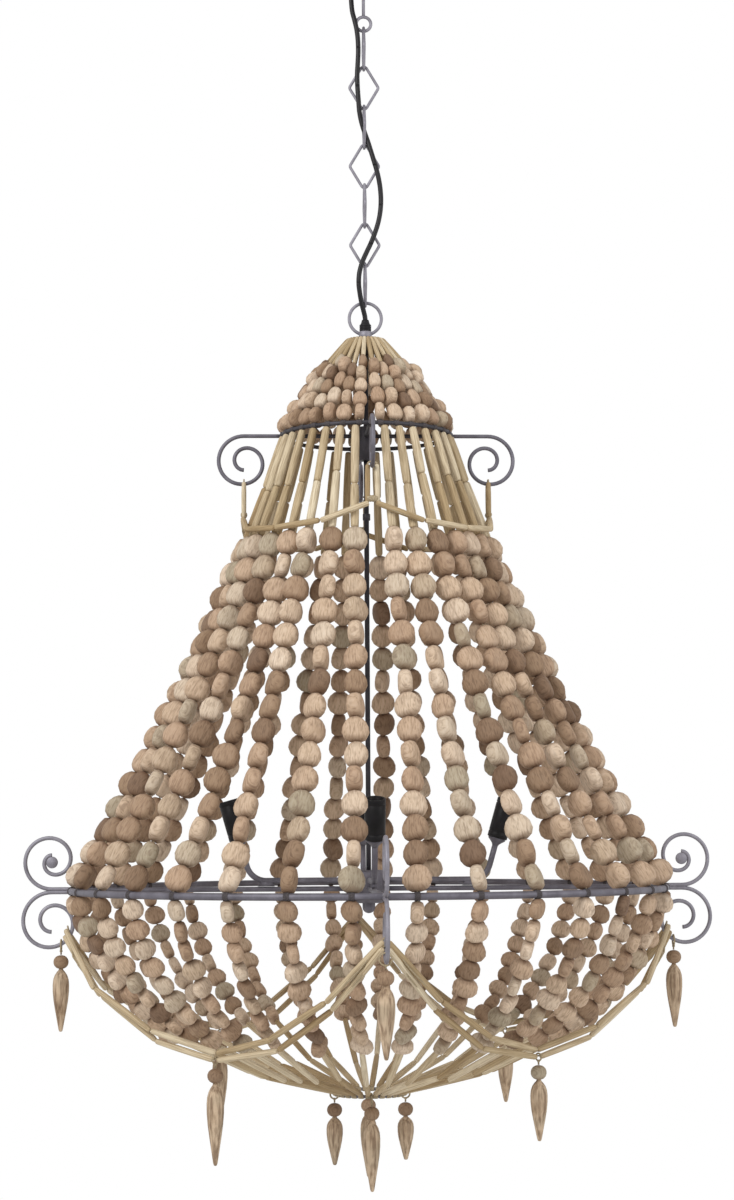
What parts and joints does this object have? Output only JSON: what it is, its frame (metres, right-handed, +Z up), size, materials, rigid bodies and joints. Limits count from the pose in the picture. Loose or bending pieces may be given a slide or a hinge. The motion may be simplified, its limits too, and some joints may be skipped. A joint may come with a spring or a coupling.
{
  "type": "chandelier",
  "caption": "Tiered chandelier with strings of wooden beads on steel rings, wire scrolls, wooden drops and candle lamp holders, hung on a chain of diamond links.",
  "frame": {"origin": "middle of the ceiling plate's top face", "axes": "+Z up, front is -Y, right is +X"},
  "size_m": [0.8238, 0.8238, 1.4862],
  "materials": {
    "steel": "matte",
    "black_plastic": "matte",
    "cord_sheath": "satin",
    "worn_wood": "matte",
    "straw_wood": "matte"
  },
  "bodies": {
    "ceiling_fitting": {"ceiling_bracket": "steel", "canopy": "steel", "canopy_loop": "steel", "terminal_block": "black_plastic", "cord_stretch_1": "cord_sheath"},
    "link_1": {"chain_link_1": "steel", "cord_stretch_2": "cord_sheath"},
    "link_2": {"chain_link_2": "steel", "cord_stretch_3": "cord_sheath"},
    "link_3": {"chain_link_3": "steel", "cord_stretch_4": "cord_sheath"},
    "link_4": {"chain_link_4": "steel", "cord_stretch_5": "cord_sheath"},
    "link_5": {"chain_link_5": "steel", "cord_stretch_6": "cord_sheath"},
    "link_6": {"chain_link_6": "steel", "cord_stretch_7": "cord_sheath"},
    "link_7": {"chain_link_7": "steel", "cord_stretch_8": "cord_sheath"},
    "lamp": {"hanging_loop": "steel", "crown_cap": "steel", "centre_rod": "steel", "upper_hub": "steel", "upper_frame": "steel", "lower_frame": "steel", "lower_hub": "steel", "hub_nut": "steel", "lamp_arm_right": "steel", "lamp_arm_back": "steel", "lamp_arm_left": "steel", "lamp_arm_front": "steel", "bottom_ring": "steel", "cord_grip": "black_plastic", "lamp_holder_right": "black_plastic", "lamp_holder_back": "black_plastic", "lamp_holder_left": "black_plastic", "lamp_holder_front": "black_plastic", "crown_strings": "worn_wood", "curtain_strings_back_right": "worn_wood", "curtain_strings_back_left": "worn_wood", "curtain_strings_front_left": "worn_wood", "curtain_strings_front_right": "worn_wood", "basket_strings_back_right": "worn_wood", "basket_strings_back_left": "worn_wood", "basket_strings_front_left": "worn_wood", "basket_strings_front_right": "worn_wood", "upper_garland": "straw_wood", "lower_garland": "straw_wood"},
    "scroll_drop_right": {"scroll_drop_right": "worn_wood"},
    "scroll_drop_back": {"scroll_drop_back": "worn_wood"},
    "scroll_drop_left": {"scroll_drop_left": "worn_wood"},
    "scroll_drop_front": {"scroll_drop_front": "worn_wood"},
    "garland_drop_back_right": {"garland_drop_back_right": "worn_wood"},
    "garland_drop_back_left": {"garland_drop_back_left": "worn_wood"},
    "garland_drop_front_left": {"garland_drop_front_left": "worn_wood"},
    "garland_drop_front_right": {"garland_drop_front_right": "worn_wood"},
    "bottom_drop_right": {"bottom_drop_right": "worn_wood"},
    "bottom_drop_back": {"bottom_drop_back": "worn_wood"},
    "bottom_drop_left": {"bottom_drop_left": "worn_wood"},
    "bottom_drop_front": {"bottom_drop_front": "worn_wood"}
  },
  "joints": [
    {"name": "chain_swing_1", "type": "hinge", "parent": "ceiling_fitting", "child": "link_1", "pos_m": [0, 0, -0.087], "axis": [1, 0, 0], "range_deg": [-10, 10], "deforming": ["cord_stretch_1"]},
    {"name": "chain_swing_2", "type": "hinge", "parent": "link_1", "child": "link_2", "pos_m": [0, 0, -0.1361], "axis": [0, 1, 0], "range_deg": [-10, 10], "deforming": ["cord_stretch_2"]},
    {"name": "chain_swing_3", "type": "hinge", "parent": "link_2", "child": "link_3", "pos_m": [0, 0, -0.1854], "axis": [1, 0, 0], "range_deg": [-10, 10], "deforming": ["cord_stretch_3"]},
    {"name": "chain_swing_4", "type": "hinge", "parent": "link_3", "child": "link_4", "pos_m": [0, 0, -0.2347], "axis": [0, 1, 0], "range_deg": [-10, 10], "deforming": ["cord_stretch_4"]},
    {"name": "chain_swing_5", "type": "hinge", "parent": "link_4", "child": "link_5", "pos_m": [0, 0, -0.284], "axis": [1, 0, 0], "range_deg": [-10, 10], "deforming": ["cord_stretch_5"]},
    {"name": "chain_swing_6", "type": "hinge", "parent": "link_5", "child": "link_6", "pos_m": [0, 0, -0.3333], "axis": [0, 1, 0], "range_deg": [-10, 10], "deforming": ["cord_stretch_6"]},
    {"name": "chain_swing_7", "type": "hinge", "parent": "link_6", "child": "link_7", "pos_m": [0, 0, -0.3826], "axis": [1, 0, 0], "range_deg": [-10, 10], "deforming": ["cord_stretch_7"]},
    {"name": "chain_swing_8", "type": "hinge", "parent": "link_7", "child": "lamp", "pos_m": [0, 0, -0.4319], "axis": [0, 1, 0], "range_deg": [-10, 10], "deforming": ["cord_stretch_8"]},
    {"name": "scroll_drop_right_swing", "type": "hinge", "parent": "lamp", "child": "scroll_drop_right", "pos_m": [0.36464, 0, -1.19975], "axis": [1, 0, 0], "range_deg": [-20, 20]},
    {"name": "scroll_drop_back_swing", "type": "hinge", "parent": "lamp", "child": "scroll_drop_back", "pos_m": [0, 0.36464, -1.19975], "axis": [0, 1, 0], "range_deg": [-20, 20]},
    {"name": "scroll_drop_left_swing", "type": "hinge", "parent": "lamp", "child": "scroll_drop_left", "pos_m": [-0.36464, 0, -1.19975], "axis": [-1, 0, 0], "range_deg": [-20, 20]},
    {"name": "scroll_drop_front_swing", "type": "hinge", "parent": "lamp", "child": "scroll_drop_front", "pos_m": [0, -0.36464, -1.19975], "axis": [0, -1, 0], "range_deg": [-20, 20]},
    {"name": "garland_drop_back_right_swing", "type": "hinge", "parent": "lamp", "child": "garland_drop_back_right", "pos_m": [0.17973, 0.17973, -1.31901], "axis": [-0.7071, 0.7071, 0], "range_deg": [-20, 20]},
    {"name": "garland_drop_back_left_swing", "type": "hinge", "parent": "lamp", "child": "garland_drop_back_left", "pos_m": [-0.17973, 0.17973, -1.31901], "axis": [-0.7071, -0.7071, 0], "range_deg": [-20, 20]},
    {"name": "garland_drop_front_left_swing", "type": "hinge", "parent": "lamp", "child": "garland_drop_front_left", "pos_m": [-0.17973, -0.17973, -1.31901], "axis": [0.7071, -0.7071, 0], "range_deg": [-20, 20]},
    {"name": "garland_drop_front_right_swing", "type": "hinge", "parent": "lamp", "child": "garland_drop_front_right", "pos_m": [0.17973, -0.17973, -1.31901], "axis": [0.7071, 0.7071, 0], "range_deg": [-20, 20]},
    {"name": "bottom_drop_right_swing", "type": "hinge", "parent": "lamp", "child": "bottom_drop_right", "pos_m": [0.042, 0, -1.377], "axis": [0, 1, 0], "range_deg": [-15, 15]},
    {"name": "bottom_drop_back_swing", "type": "hinge", "parent": "lamp", "child": "bottom_drop_back", "pos_m": [0, 0.042, -1.377], "axis": [1, 0, 0], "range_deg": [-15, 15]},
    {"name": "bottom_drop_left_swing", "type": "hinge", "parent": "lamp", "child": "bottom_drop_left", "pos_m": [-0.042, 0, -1.377], "axis": [0, 1, 0], "range_deg": [-15, 15]},
    {"name": "bottom_drop_front_swing", "type": "hinge", "parent": "lamp", "child": "bottom_drop_front", "pos_m": [0, -0.042, -1.377], "axis": [1, 0, 0], "range_deg": [-15, 15]}
  ]
}
